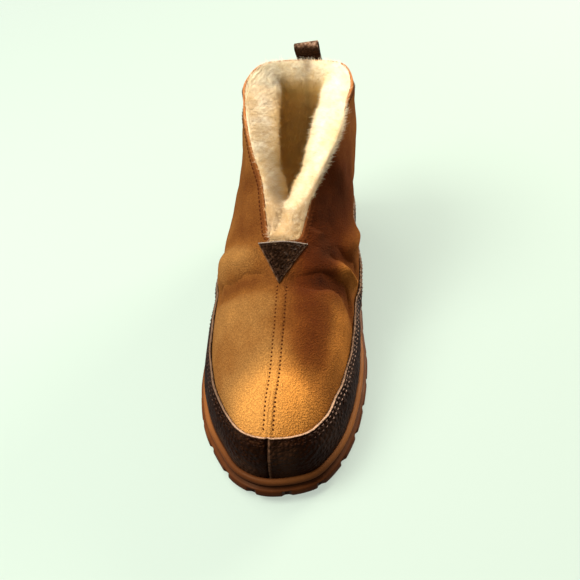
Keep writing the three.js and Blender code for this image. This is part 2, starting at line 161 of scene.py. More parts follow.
def rib(u, inset):
    """Handles of the upper's rib at u, from the sole to the top line, moved inward by inset."""
    side = side_of(u)
    point, normal = edge(u)
    plan = point - normal * (LEDGE + FOXING + FOXING_GAP + inset)[..., None]
    foot = np.concatenate([plan, (CUP_FLOOR + GAP + toe_lift(plan[..., 1]))[..., None]], -1)
    out = np.concatenate([normal, np.zeros_like(normal[..., :1])], -1)
    slope, fan, drop, lean = (np.radians(column(name, u)) for name in ("slope", "fan", "drop", "lean"))
    gap = np.where(on_ridge(u), 0, np.maximum(0, column("gap", u)))
    away = np.stack([side * np.sin(fan), -np.cos(fan) * np.cos(slope), -np.cos(fan) * np.sin(slope)], -1)
    tip = np.where(on_ridge(u), 0, drop)[..., None]
    top_normal = ridge_up(slope) * np.cos(tip) + away * np.sin(tip)
    line = [
        column("centre", u) + side * gap * COLLAR_HALF,
        (column("topAlong", u) - 0.5) * LENGTH,
        column("topHeight", u) * COLLAR_HEIGHT,
    ]
    top = np.stack(line, -1) - top_normal * inset[..., None]
    chord = norm(top - foot)
    wall, crown = (column(name, u) * chord for name in ("wall", "crown"))
    foot_handle = foot + out * (np.sin(lean) * wall)[..., None] + UP * (np.cos(lean) * wall)[..., None]
    top_handle = top + away * (np.cos(drop) * crown)[..., None] - UP * (np.sin(drop) * crown)[..., None]
    return foot, foot_handle, top_handle, top


def curve(a, b, c, d, t):
    """The cubic from a to d with handles b and c."""
    s = 1 - t
    return a * s**3 + 3 * b * s * s * t + 3 * c * s * t * t + d * t**3


def skin(u, share, inset=0.0):
    """Points of the upper's form."""
    u, share, inset = np.broadcast_arrays(*(np.asarray(v, float) for v in (u, share, inset)))
    return curve(*rib(u, inset), share[..., None])


def bisect(low, high, holds):
    """The last share at which holds() is true, at every place."""
    for _ in range(24):
        mid = (low + high) / 2
        held = holds(mid)
        low, high = np.where(held, mid, low), np.where(held, high, mid)
    return low


def share_at(u, height):
    """How far up the rib the form reaches this height."""
    return bisect(np.zeros_like(u), np.ones_like(u), lambda share: skin(u, share)[..., 2] < height)


def foxing_height(u, y):
    return column("foxing", u) + FOXING_SPRING * toe_lift(y)


def lumps(points, wavelength, seed, waves=14):
    """Seeded lumps: a sum of waves in random directions."""
    rng = np.random.default_rng(seed)
    total = np.zeros(points.shape[:-1])
    for _ in range(waves):
        way = unit(rng.normal(size=3)) * 2 * math.pi / (wavelength * rng.uniform(0.7, 1.4))
        total += np.sin(points @ way + rng.uniform(0, 2 * math.pi))
    return total / math.sqrt(waves)


# Grids of points [round][up] and their faces
def grid(u, share):
    return np.meshgrid(u, share, indexing="ij")


def grid_normals(points, closed):
    """Normals of a grid."""
    if closed:
        along = np.roll(points, -1, 0) - np.roll(points, 1, 0)
    else:
        along = np.gradient(points, axis=0)
    return unit(np.cross(along, np.gradient(points, axis=1)))


def grid_faces(rounds, rises, closed, start=0):
    i = np.arange(rounds if closed else rounds - 1)
    a, b = grid(i, np.arange(rises - 1))
    c = (a + 1) % rounds
    quads = [a * rises + b, c * rises + b, c * rises + b + 1, a * rises + b + 1]
    return np.stack(quads, -1).reshape(-1, 4) + start


def tube_faces(rounds, rises, closed):
    """A grid's faces, and those from its last row back to its first."""
    i = np.arange(rounds if closed else rounds - 1)
    j = (i + 1) % rounds
    foot = np.stack([j * rises, i * rises, i * rises + rises - 1, j * rises + rises - 1], -1)
    return np.concatenate([grid_faces(rounds, rises, closed), foot])


def with_rows(points, rows):
    """A grid with more rows after its last one."""
    return np.concatenate([points] + [row[:, None] for row in rows], 1)


# Pieces
def put(name, data):
    """A new object in the scene."""
    made = bpy.data.objects.new(name, data)
    bpy.context.scene.collection.objects.link(made)
    return made


def paint(mesh, layers):
    for key, values in layers.items():
        layer = mesh.attributes.new(key, "FLOAT", "POINT")
        layer.data.foreach_set("value", np.asarray(values, np.float32).ravel())


def settle(name, mesh, material, nodes=(), normals=None):
    """A smooth piece that rides on the slipper and takes the place of the solid nodes."""
    mesh.polygons.foreach_set("use_smooth", np.ones(len(mesh.polygons), bool))
    if normals is not None:
        mesh.normals_split_custom_set_from_vertices(normals.reshape(-1, 3).tolist())
    mesh.materials.append(material)
    piece = put(name, mesh)
    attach(piece, "root")
    if nodes:
        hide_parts(*nodes)
    return piece


def make_piece(name, points, faces, material, slot, nodes=(), layers=None, merge=0.0, normals=None):
    """A piece from points in millimetres and one or more arrays of faces."""
    mesh = bpy.data.meshes.new(name)
    points = points.reshape(-1, 3) * MM
    faces = faces if isinstance(faces, list) else [faces]
    mesh.from_pydata(points.tolist(), [], [row for some in faces for row in some.tolist()])
    paint(mesh, layers or {})
    if merge:
        work = bmesh.new()
        work.from_mesh(mesh)
        bmesh.ops.remove_doubles(work, verts=work.verts, dist=merge * MM)
        work.to_mesh(mesh)
        work.free()
    return settle(name, mesh, material, nodes, normals)


def join(parts):
    points, faces, start = [], [], 0
    for p, f in parts:
        points.append(p)
        faces.append(f + start)
        start += len(p)
    return np.concatenate(points), np.concatenate(faces)


# Materials
def srgb(r, g, b):
    return tuple(((v / 255 + 0.055) / 1.055) ** 2.4 if v > 10 else v / 3294.6 for v in (r, g, b))


class Nodes:
    """Short names for building a node material."""

    def __init__(self, name, roughness, **sockets):
        self.material = bpy.data.materials.new(name)
        self.material.use_nodes = True
        self.tree = self.material.node_tree
        self.shader = self.tree.nodes["Principled BSDF"]
        self.shader.inputs["Roughness"].default_value = roughness
        for key, value in sockets.items():
            self.fill(self.shader.inputs[key.replace("_", " ")], value)
        self.place = self.tree.nodes.new("ShaderNodeTexCoord").outputs["Object"]

    def fill(self, socket, value):
        """Link a socket to another, or set its number or colour."""
        if isinstance(value, bpy.types.NodeSocket):
            self.tree.links.new(value, socket)
        elif isinstance(value, tuple):
            socket.default_value = (*value, 1)
        else:
            socket.default_value = value

    def add(self, kind, links, **values):
        node = self.tree.nodes.new(kind)
        for key, value in values.items():
            setattr(node, key, value)
        for key, value in links.items():
            self.fill(node.inputs[key], value)
        return node

    def noise(self, scale, detail, rough):
        links = {"Vector": self.place, "Scale": scale, "Detail": detail, "Roughness": rough}
        return self.add("ShaderNodeTexNoise", links).outputs["Fac"]

    def cells(self, scale):
        return self.add("ShaderNodeTexVoronoi", {"Vector": self.place, "Scale": scale}).outputs["Distance"]

    def value(self, name):
        return self.add("ShaderNodeAttribute", {}, attribute_name=name).outputs["Fac"]

    def ramp(self, factor, stops, colors):
        node = self.add("ShaderNodeValToRGB", {"Fac": factor})
        bar = node.color_ramp
        while len(bar.elements) < len(stops):
            bar.elements.new(0.5)
        for element, at, color in zip(bar.elements, stops, colors):
            element.position = at
            element.color = (*srgb(*color), 1)
        return node.outputs["Color"]

    def span(self, value, low, high, to_low=0.0, to_high=1.0):
        links = {"Value": value, "From Min": low, "From Max": high, "To Min": to_low, "To Max": to_high}
        return self.add("ShaderNodeMapRange", links).outputs[0]

    def plus(self, a, b):
        return self.add("ShaderNodeMath", {0: a, 1: b}, operation="ADD").outputs[0]

    def mix(self, factor, a, b):
        return self.add("ShaderNodeMix", {0: factor, 6: a, 7: b}, data_type="RGBA").outputs[2]

    def bump(self, height, depth, strength=1.0, under=None):
        links = {"Height": height, "Distance": depth * MM, "Strength": strength}
        if under is not None:
            links["Normal"] = under
        return self.add("ShaderNodeBump", links).outputs[0]

    def done(self, color, normal=None, roughness=None):
        for key, socket in (("Base Color", color), ("Normal", normal), ("Roughness", roughness)):
            if socket is not None:
                self.fill(self.shader.inputs[key], socket)
        return self.material


# Suede's colour from dark to light, by its nap and the light and shade painted on it: on the lateral side,
# and warmer on the medial side, where warm light is painted
NAP_STOPS = (0.0, 0.2, 0.4, 0.55, 0.75, 1.0)
NAP_AND_LIGHT_COLORS = [(40, 12, 3), (92, 46, 13), (136, 86, 36), (160, 113, 58), (196, 139, 71), (232, 162, 80)]
WARM_LIGHT_COLORS = [(38, 9, 1), (88, 38, 8), (126, 70, 24), (158, 98, 39), (198, 127, 53), (234, 155, 68)]


def suede_material():
    m = Nodes("suede", 0.95, Sheen_Weight=0.08, Sheen_Roughness=0.5, Sheen_Tint=srgb(235, 160, 80),
              Specular_IOR_Level=0.06)
    fine = m.noise(1000, 2, 0.6)
    grain = m.cells(880)
    blotch = m.noise(60, 4, 0.6)
    # The nap layer holds painted light and shade as well as the nap itself
    nap_and_painted_light = m.plus(m.value("nap_and_painted_light"), m.span(blotch, 0.3, 0.7, -0.06, 0.06))
    # A warmer ramp on the medial side: painted warm light there
    color = m.mix(m.value("warm_light"), m.ramp(nap_and_painted_light, NAP_STOPS, NAP_AND_LIGHT_COLORS), m.ramp(nap_and_painted_light, NAP_STOPS, WARM_LIGHT_COLORS))
    color = m.mix(m.span(fine, 0.4, 0.62, 0.32, 0.0), color, srgb(48, 16, 4))
    color = m.mix(m.span(grain, 0.15, 0.6, 0.0, 0.24), color, srgb(60, 22, 6))
    color = m.mix(m.value("hem"), color, srgb(98, 50, 22))
    color = m.mix(m.value("raw_edge_and_glint"), color, srgb(176, 112, 62))
    normal = m.bump(fine, 0.45)
    normal = m.bump(m.span(grain, 0.0, 0.7, 1.0, 0.0), 0.36, 1.0, normal)
    return m.done(color, normal)


def fleece_material(name, bumps):
    m = Nodes(name, 1.0, Sheen_Weight=0.3, Sheen_Roughness=0.6, Specular_IOR_Level=0.05)
    tufts = m.noise(75, 5, 0.7)
    color = m.ramp(tufts, (0.3, 0.5, 0.7), [(232, 206, 154), (246, 230, 192), (253, 246, 222)])
    # Tan where the tone says: the fleece's own tone, with painted light and shade
    color = m.mix(m.span(m.value("tone_and_light"), -1.7, 0.4, 0.75, 0.0), color, srgb(206, 160, 100))
    # Browner deep inside the shaft: painted shade
    color = m.mix(m.value("deep_shade"), color, srgb(248, 202, 110))
    # Darker along the back seam: painted shade in its crease
    color = m.mix(m.value("join"), color, srgb(120, 80, 36))
    return m.done(color, m.bump(m.noise(420, 4, 0.7), 1.2, 0.8) if bumps else None)


def leather_material(name, dark, light, shine, grain, edge_color):
    """Pebbled leather, worn, raw-edged and painted with glints where the piece's layers say so. Shine is its
    lowest roughness.
    """
    dark, light, edge_color = (srgb(*color) for color in (dark, light, edge_color))
    m = Nodes(name, 0.5, Specular_IOR_Level=0.5, IOR=1.27, Specular_Tint=srgb(226, 156, 104))
    pebble = m.cells(grain)
    small = m.cells(grain * 2.3)
    wear = m.noise(60, 5, 0.6)
    color = m.mix(m.span(wear, 0.35, 0.7), dark, light)
    # Painted shade: darker in the crevices between the pebbles
    color = m.mix(m.span(pebble, 0.25, 0.6, 0.0, 0.55), color, tuple(v * 0.45 for v in dark))
    color = m.mix(m.value("wear_and_glint"), color, srgb(150, 112, 84))
    color = m.mix(m.value("raw_edge_and_glint"), color, edge_color)
    normal = m.bump(m.span(pebble, 0.0, 0.7, 1.0, 0.0), 1.2)
    normal = m.bump(m.span(small, 0.0, 0.7, 1.0, 0.0), 0.18, 0.8, normal)
    roughness = m.span(m.noise(140, 4, 0.6), 0.3, 0.7, shine, shine + 0.2)
    return m.done(color, normal, roughness)


def rubber_material():
    m = Nodes("gum_rubber", 0.5, Specular_IOR_Level=0.5, IOR=1.25, Specular_Tint=srgb(230, 190, 150))
    marks = m.noise(40, 6, 0.65)
    color = m.ramp(marks, (0.3, 0.55, 0.75), [(80, 39, 15), (98, 52, 22), (114, 66, 31)])
    # Lighter on the bead: a painted highlight
    color = m.mix(m.value("bead_highlight"), color, srgb(156, 98, 50))
    # Darker where the soil layer says: painted shade in hollows and at the toe, and dirt
    color = m.mix(m.value("soil_and_shade"), color, srgb(44, 18, 6))
    normal = m.bump(m.noise(700, 3, 0.6), 0.12, 0.5)
    roughness = m.span(m.noise(90, 4, 0.6), 0.3, 0.7, 0.42, 0.62)
    return m.done(color, normal, roughness)


def thread_material(name, color, pale_where_lit=(1, 1, 1)):
    m = Nodes(name, 0.9, Specular_IOR_Level=0.05)
    twist = m.noise(1500, 2, 0.5)
    # Paler where light is painted on the thread
    tint = m.mix(m.value("pale_where_lit"), color, pale_where_lit)
    tint = m.mix(m.span(twist, 0.35, 0.65, 0.4, 0.0), tint, tuple(v * 0.4 for v in color))
    return m.done(tint, m.bump(twist, 0.12, 0.8))


SUEDE_LOOK = suede_material()
FLEECE_LOOK = fleece_material("fleece", True)
FIBRE_LOOK = fleece_material("fleece_fibre", False)
FOXING_LOOK = leather_material("foxing_leather", (20, 6, 2), (34, 13, 5), 0.4, 330, (190, 152, 122))
PATCH_LOOK = leather_material("patch_leather", (10, 4, 2), (25, 12, 6), 0.38, 420, (150, 136, 124))
STRAP_LOOK = leather_material("strap_leather", (38, 23, 15), (62, 41, 29), 0.36, 480, (186, 152, 128))
RUBBER_LOOK = rubber_material()
SEAM_THREAD = thread_material("seam_thread", srgb(84, 41, 15))
FOXING_THREAD = thread_material("foxing_thread", srgb(44, 26, 18), srgb(172, 141, 124))
PATCH_THREAD = thread_material("patch_thread", srgb(58, 38, 27))

# Suede upper: soft troughs (negative) and ridges. Depth, width, painted shade in the trough or painted light
# on the ridge (darker or lighter), places
CREASES = [
    (-6, 6, -0.22, [(22.3, 0.3), (22.7, 0.46), (22.88, 0.58), (22.92, 0.7), (22.95, 0.82), (22.95, 0.94)]),
    (3.8, 8.5, 0.24, [(21.2, 0.45), (21.9, 0.6), (22.2, 0.72), (22.25, 0.84)]),
    (-8, 4.8, -0.26,
     [(5, 0.26), (5.35, 0.37), (5.5, 0.5), (5.44, 0.6), (5.3, 0.7), (5.16, 0.8), (5.05, 0.92)]),
    (4.8, 5.4, 0.55, [(6.75, 0.35), (6.4, 0.43), (6.12, 0.51), (5.98, 0.6)]),
    (-6.5, 5, -0.18, [(7.75, 0.34), (7.35, 0.47), (7.2, 0.58), (7.2, 0.68), (6.8, 0.78)]),
    (4, 7.5, 0.2, [(9.3, 0.45), (8.7, 0.54), (8.1, 0.63)]),
    (-2.4, 12, -0.05, [(9.4, 0.84), (8.7, 0.88), (7.9, 0.88)]),
    (-2, 11, -0.12, [(3.6, 0.82), (2.9, 0.66), (2.3, 0.5)]),
    (1.4, 10, 0.12, [(4.9, 0.48), (3.9, 0.48), (3.1, 0.44)]),
    (-1.4, 10, -0.05, [(24.4, 0.62), (25.3, 0.56)]),
    (-2.4, 9, -0.1, [(19.2, 0.3), (20.2, 0.42), (20.9, 0.6)]),
    (-2, 10, -0.08, [(16.2, 0.34), (17.4, 0.4), (18.6, 0.5)]),
    (-2, 10, -0.08, [(11.8, 0.34), (10.6, 0.38), (9.6, 0.46)]),
    (1.4, 16, 0.04, [(13, 0.7), (12, 0.75)]),
    (1.4, 16, 0.04, [(15, 0.7), (16, 0.75)]),
]
# Painted light and shade on the suede, with its brushed nap: a pool of light on the toe, shade over the
# medial shaft. How much lighter or darker, reach, places
PAINTED_LIGHT_AND_NAP = [
    (0.4, 20, [(27, 0.6), (27.35, 0.72), (27.5, 0.84)]),
    (0.5, 24, [(0.7, 0.6), (1.2, 0.68), (1.8, 0.74)]),
    (0.26, 14, [(0.3, 0.95), (1.4, 1), (2.9, 1)]),
    (0.22, 13, [(3.6, 0.42), (4.2, 0.44), (4.9, 0.48)]),
    (-0.18, 20, [(4.7, 0.84), (3.9, 0.76), (3.2, 0.7)]),
    (-0.1, 14, [(6.3, 0.74), (5.9, 0.8), (5.5, 0.84)]),
    (0.1, 20, [(23.5, 0.5), (23.6, 0.66), (23.8, 0.8)]),
    (0.1, 20, [(26.4, 0.55), (25.8, 0.55)]),
    (-0.28, 32, [(10.4, 0.74), (9.4, 0.84), (8.2, 0.88), (7, 0.88), (6.3, 0.86)]),
    (-0.1, 26, [(10.4, 0.62), (9.4, 0.72), (8.4, 0.8)]),
    (-0.16, 26, [(17.6, 0.7), (18.6, 0.8), (20.2, 0.86), (21.2, 0.9)]),
]
NAP_LEVEL = 0.48
HEEL_FROM, HEEL_SEAM, SEAM_HALF, HEM_DEPTH = 100, 2.0, 2.9, 4.6
SEAM_LINE = np.concatenate([skin(0, np.linspace(0.4, 0.99, 40)), skin(np.linspace(0, THROAT, 80), 1)])
UPPER_ROUNDS, UPPER_RISES = 520, 96
PATCH_ALONG = np.array([0, math.cos(PATCH_SLOPE), math.sin(PATCH_SLOPE)])
PATCH_UP = ridge_up(PATCH_SLOPE)
PATCH_BASE = skin(THROAT, 1) + [PATCH_SIDE, 0, 0] + PATCH_RISE * PATCH_ALONG


def patch_place(points):
    """Across and along the throat patch, and how far inside its slanted edges a point lies."""
    along = (points - PATCH_BASE) @ PATCH_ALONG
    across = points[..., 0] - PATCH_BASE[0]
    half = PATCH_WIDTH / 2
    inside = PATCH_HEIGHT * (half - np.abs(across)) + half * along
    return across, along, inside / math.hypot(half, PATCH_HEIGHT)


def near(points, places, width):
    """1 on a line through the places, fading softly beside it and towards its ends."""
    places = np.array(places, float)
    share = np.linspace(0, 1, 60)
    u, up = (np.interp(share * (len(places) - 1), np.arange(len(places)), places[:, k]) for k in (0, 1))
    fade = 0.25 + 0.75 * smooth(share, 0.25) * smooth(1 - share, 0.25)
    flat = points.reshape(-1, 3)
    best = np.zeros(len(flat))
    for p, strength in zip(skin(u, up), fade):
        np.maximum(best, strength * np.exp(-((flat - p) ** 2).sum(-1) / width**2), out=best)
    return best.reshape(points.shape[:-1])


def suede_lift(points, u, share):
    """How far the suede stands off its form."""
    lift = 0.45 * lumps(points, 34, 3) + 0.2 * lumps(points, 13, 4)
    for depth, width, _, places in CREASES:
        lift = lift + depth * near(points, places, width)
    x, y, z = np.moveaxis(points, -1, 0)
    clear = z - foxing_height(u, y)
    lift = lift * (0.2 + 0.8 * smooth(clear - 1, 16))
    _, along, inside_edge = patch_place(points)
    beside_patch = smooth(-np.minimum(inside_edge, 8 - along) - 0.5, 5)
    lift = lift * np.where(z > 70, beside_patch, 1)
    off_seam = np.abs(x - np.interp(y, SEAM_LINE[:, 1], SEAM_LINE[:, 0]))
    welt = 0.55 * np.exp(-((off_seam / 2.6) ** 4)) - 0.5 * bell(off_seam - SEAM_HALF, 0.8)
    welt = welt - 0.35 * bell(off_seam, 0.7)
    lift = lift + np.where(on_ridge(u), smooth(share - 0.4, 0.1), 0) * welt
    lift = lift - np.where(y > HEEL_FROM, 0.7 * bell(x - HEEL_SEAM, 0.7), 0)
    return lift * np.where(on_ridge(u), 1, 0.25 + 0.75 * smooth(1 - share, 0.03))


def suede_face(u, share):
    """The upper's outer face with its creases, and the form's normals."""
    step = 0.004
    points = skin(u, share)
    along = skin(u + step, share) - skin(u - step, share)
    rise = skin(u, np.minimum(share + step, 1)) - skin(u, np.maximum(share - step, 0))
    normal = unit(np.cross(along, rise))
    normal = np.where((np.abs(along).sum(-1) < 1e-6)[..., None], UP, normal)
    up = ridge_up(np.radians(column("slope", u)))
    normal = np.where((on_ridge(u) & (share > 0.999))[..., None], up, normal)
    return points + normal * suede_lift(points, u, share)[..., None], normal


def make_upper():
    u = ROUND * np.arange(UPPER_ROUNDS) / UPPER_ROUNDS
    outer, normal = suede_face(*grid(u, np.linspace(0, 1, UPPER_RISES) ** 0.92))
    top, out = outer[:, -1], normal[:, -1]
    open_edge = (~on_ridge(u))[:, None]
    rise = unit(top - outer[:, -3]) * (0.45 * open_edge)
    rim = [top - out * (depth * open_edge) + rise for depth in (0.3, 1.2)]
    back = [skin(u, share, SUEDE) for share in (1.0, 0.97, 0.9, 0.75, 0.5, 0.25, 0.0)]
    points = with_rows(outer, rim + back)
    # Painted light and shade, with the nap: pools of light, and shade over the medial shaft
    nap_and_painted_light = np.full(points.shape[:2], NAP_LEVEL)
    for amount, reach, places in PAINTED_LIGHT_AND_NAP:
        nap_and_painted_light += amount * near(points, places, reach)
    # Painted shade in the creases' troughs, painted light on their ridges
    for _, width, crease_shade_and_light, places in CREASES:
        nap_and_painted_light += crease_shade_and_light * near(points, places, 1.25 * width)
    hem, raw_edge_and_glint = np.zeros((2, *points.shape[:2]))
    down = norm(outer - outer[:, -1:])
    band = open_edge * smooth(HEM_DEPTH - down, 1.2)
    hem[:, :UPPER_RISES] = np.clip(0.75 * band * (0.75 + 0.25 * lumps(outer, 6, 8)), 0, 1)
    raw_edge_and_glint[:, UPPER_RISES - 1:UPPER_RISES + 3] = open_edge * (0.3 + 0.7 * smooth(top[:, 1:2] - 25, 45))
    layers = {"nap_and_painted_light": nap_and_painted_light, "warm_light": smooth(points[..., 0] + 4, 24), "hem": hem, "raw_edge_and_glint": raw_edge_and_glint}
    faces = tube_faces(UPPER_ROUNDS, points.shape[1], True)
    make_piece("suede_upper", points, faces, SUEDE_LOOK, "suede", ["upper"], layers, merge=0.02)


# Stitches: short threads that dip into their bed at both ends. Length, thickness, how deep they sit, pitch
SEAM_STITCH = (1.5, 1.1, 0.25, 2.75)
HEM_STITCH = (2.3, 0.8, 0.1, 2.944)
FOXING_STITCH = (2.1, 0.75, 0.1, 3.9)
PATCH_STITCH = (2.0, 0.6, 0.05, 2.56)
LOOP_STITCH = (1.7, 0.6, 0.05, 2.176)
# Rings of a stitch: place in lengths, width in thicknesses, height in thicknesses
STITCH_RINGS = [
    (-0.5, 0.45, -0.55), (-0.4, 0.9, 0.1), (-0.15, 1, 0.5),
    (0.15, 1, 0.5), (0.4, 0.9, 0.1), (0.5, 0.45, -0.55),
]
SPOKES = 6
SEAM_START, SEAM_END = SEAM_LINE[14, 1], -38.5
HEM_START, HEM_DOWN = 6.9, 3.4


def at_run(middle, run, values):
    return np.stack([np.interp(middle, run, values[:, k]) for k in range(3)], -1)


def evened(values):
    """A running mean over nine values."""
    return np.convolve(np.pad(values, 4, "edge"), np.ones(9) / 9, "valid")


def stitch_run(places, normals, length, thick, sunk, pitch):
    """Stitches along a line of points, with the bed's normals."""
    step = norm(np.diff(places, axis=0))
    run = np.concatenate([[0], np.cumsum(step)])
    count = int(run[-1] / pitch)
    middle = (np.arange(count) + 0.5) * run[-1] / count
    at = at_run(middle, run, places)
    n = unit(at_run(middle, run, unit(normals)))
    way = unit(at_run(middle + 0.5, run, places) - at_run(middle - 0.5, run, places))
    across = unit(np.cross(n, way))
    points = []
    for along, size, high in STITCH_RINGS:
        centre = at + way * (along * length) + n * (high * thick - sunk)
        for turn in 2 * math.pi * np.arange(SPOKES) / SPOKES:
            points.append(centre + (across * math.cos(turn) + n * math.sin(turn)) * (0.5 * thick * size))
    spoke = np.arange(SPOKES)
    beside = (spoke + 1) % SPOKES
    ring = np.stack([spoke, beside, beside + SPOKES, spoke + SPOKES], -1)
    one = np.concatenate([ring + SPOKES * k for k in range(len(STITCH_RINGS) - 1)])
    every = one[None] + (np.arange(count) * len(points))[:, None, None]
    return np.stack(points, 1).reshape(-1, 3), every.reshape(-1, 4)


def make_suede_stitches():
    """A row on each side of the seam down the vamp, and one below the top line."""
    parts = []
    round_toe = np.linspace(-5.2, 5.2, 620) % ROUND
    face = suede_face(*grid(round_toe, np.linspace(0.5, 1, 140)))
    face = np.concatenate(face, -1).reshape(-1, 6)
    y = np.linspace(SEAM_START, SEAM_END, 300)
    for side in (1, -1):
        x = np.interp(y, SEAM_LINE[:, 1], SEAM_LINE[:, 0]) + side * SEAM_HALF
        row = []
        for place in np.stack([x, y], -1):
            d = ((face[:, :2] - place) ** 2).sum(-1)
            best = np.argpartition(d, 6)[:6]
            row.append(np.average(face[best], axis=0, weights=1 / (d[best] + 0.02)))
        row = np.array(row)
        line = np.stack([evened(row[:, k]) for k in range(3)], -1)
        parts.append(stitch_run(line, row[:, 3:], *SEAM_STITCH))
    u = np.linspace(HEM_START, ROUND - HEM_START, 900)
    top = skin(u, 1)
    share = bisect(np.full_like(u, 0.8), np.ones_like(u), lambda s: norm(skin(u, s) - top) > HEM_DOWN)
    parts.append(stitch_run(*suede_face(u, share), *HEM_STITCH))
    make_piece("suede_stitches", *join(parts), SEAM_THREAD, "suede")


# Foxing: a leather band with a raw cut edge, on each side from the toe's seam to the heel's
FOXING_ROUNDS = 340
FOXING_SHARES = np.concatenate([np.linspace(0, 0.88, 16), np.linspace(0.905, 1, 9)])
FOXING_ROWS = (1.9, 4.9)


def foxing_face(u, share, inset):
    foot = skin(u, 0)
    top = share_at(u, foxing_height(u, foot[..., 1]))
    top = top + 0.0016 * lumps(foot, 14, 21) + 0.0011 * lumps(foot, 4, 22)
    return skin(u, top * share, inset)


def make_foxing(name, node, start, end, seed):
    """One band, and its rows of stitches."""
    u = np.linspace(start + 0.008, end - 0.008, FOXING_ROUNDS)
    uu, shares = grid(u, FOXING_SHARES)
    outer = foxing_face(uu, shares, -FOXING_GAP - FOXING)
    normal = grid_normals(outer, False)
    to_ends = [norm(outer - outer[k][None]) for k in (0, -1)]
    below = norm(outer - outer[:, -1:])
    lift = 0.28 * lumps(outer, 22, seed) + 1.5 * np.sin(math.pi * shares) ** 1.4
    for row in FOXING_ROWS:
        lift -= 0.3 * bell(below - row, 0.7)
    lift -= 1.25 * bell(np.minimum(*to_ends), 1.1)
    lift -= 0.35 * smooth(0.8 - below, 0.8)
    outer = outer + normal * np.maximum(lift, -1.5)[..., None]
    top, out = outer[:, -1], normal[:, -1]
    rise = unit(top - outer[:, -3])
    rim = [top - out * 0.4 + rise * 0.35, top - out * 1.2 + rise * 0.3]
    inner = [foxing_face(u, share, -FOXING_GAP) for share in (1.0, 0.8, 0.5, 0.0)]
    points = with_rows(outer, rim + inner)
    rises = points.shape[1]
    first = np.arange(rises)[None]
    caps = [first, (first + (FOXING_ROUNDS - 1) * rises)[:, ::-1]]
    raw_edge_and_glint, wear_and_glint = np.zeros((2, *points.shape[:2]))
    edge_row = len(FOXING_SHARES)
    raw_edge_and_glint[:, :edge_row] = smooth(0.3 - below, 0.25)
    raw_edge_and_glint[:, edge_row] = 1
    raw_edge_and_glint[:, edge_row + 1] = 0.4
    x, y = points[..., 0], points[..., 1]
    lateral = 0.32 + 0.68 * smooth(-y - 105, 28)
    medial = 0.5 + 0.5 * smooth(-y - 60, 60)
    raw_edge_and_glint *= lateral + (medial - lateral) * smooth(x + 12, 24)
    wear_and_glint[:, :edge_row] = 0.05 * np.clip(lumps(outer, 30, seed + 5), 0, 1)
    if start == 0:
        lip = bell(norm(outer - outer[:1]) - 1.3, 0.5)
        wear_and_glint[:, :edge_row] += 0.36 * lip * (outer[..., 1] < -100)
    faces = [tube_faces(FOXING_ROUNDS, rises, False)] + caps
    make_piece(name, points, faces, FOXING_LOOK, "leather", [node], {"raw_edge_and_glint": raw_edge_and_glint, "wear_and_glint": wear_and_glint})
    parts = []
    for row in FOXING_ROWS:
        line = []
        for depths, places in zip(below, outer):
            order = np.argsort(depths)
            line.append(at_run(row, depths[order], places[order]))
        bed = normal[np.arange(FOXING_ROUNDS), np.argmin(np.abs(below - row), axis=1)]
        parts.append(stitch_run(np.array(line)[3:-3], bed[3:-3], *FOXING_STITCH))
    return parts


def make_foxings():
    parts = make_foxing("band_medial", "foxing_medial", 0, LAST, 31)
    parts += make_foxing("band_lateral", "foxing_lateral", LAST, ROUND, 47)
    points, faces = join(parts)
    # Painted light on the thread: paler on the medial side and away from the toe, darker at the toe's front
    # and on the lateral side
    pale_where_lit = smooth(points[:, 1] + 132, 34) * (0.12 + 0.88 * smooth(points[:, 0] + 12, 24))
    make_piece("foxing_stitches", points, faces, FOXING_THREAD, "leather", layers={"pale_where_lit": pale_where_lit})


# Fleece lining: a skin over the pile, inside the upper and over its top line, with fibres on it
INSIDE = SUEDE + GAP
THROAT_PILE = 14.5
FLEECE_ROUNDS = 420
CAVITY = np.linspace(0.02, 0.93, 40)
ROLL = np.linspace(0, 1, 34)[1:]
# The lining's hidden outer face: share of the way up, depth below the suede
FLEECE_BACK = [(0.98, 2.5), (0.93, 5.5), (0.85, 6.5), (0.6, 6.5), (0.3, 6), (0.02, 3)]
# Heights of the top line along the shoe
TOP_ALONG, TOP_HEIGHTS = [-14, 0, 24, 47, 76, 140], [96, 101, 119, 136, 146, 144]


def cavity_point(u, share):
    """The pile's inner face. Under the collar the two sides close up towards the throat's foot."""
    toe = from_toe(u)
    pile = PILE - 8 * smooth(toe - 12.2, 1.3)
    in_throat = smooth(toe - THROAT + 1, 3)
    at_mouth = smooth(column("drop", u) - 25, 25)
    depth = PILE_FOOT + (pile - PILE_FOOT) * in_throat * smooth(share - 0.58, 0.28)
    rounding = 1 - 0.12 * at_mouth * smooth(share - 0.86, 0.14)
    points = skin(u, share, INSIDE + depth * rounding)
    side = side_of(u)
    centre = column("centre", u) - 8 * smooth(9.2 - toe, 2.6)
    wanted = np.maximum(column("gap", u) * COLLAR_HALF - INSIDE - THROAT_PILE, 0.25)
    off = (points[..., 0] - centre) * side
    closed = smooth(share - 0.5, 0.25) * smooth(11.4 - toe, 1.2)
    off = np.maximum(np.minimum(off, off + (wanted - off) * closed), 0.25)
    parted = ~on_ridge(u) & (toe < LAST - 1.2)
    points[..., 0] = np.where(parted, centre + side * off, points[..., 0])
    return points


def fleece_wall(u):
    """The pile's inner face up to the roll, and how far the throat is shut above it."""
    uu, shares = grid(u, CAVITY)
    wall = cavity_point(uu, shares)
    line = skin(u, 1, INSIDE)
    shut = np.where(on_ridge(u), 0, smooth(8.75 - from_toe(u), 0.5))
    move = line - wall[:, -1]
    move[:, 2] += 4.4 * smooth(from_toe(u) - THROAT)
    wall[..., 1:] += (shut[:, None] * move[:, 1:])[:, None] * smooth(shares - 0.55, 0.38)[..., None]
    return wall, shut


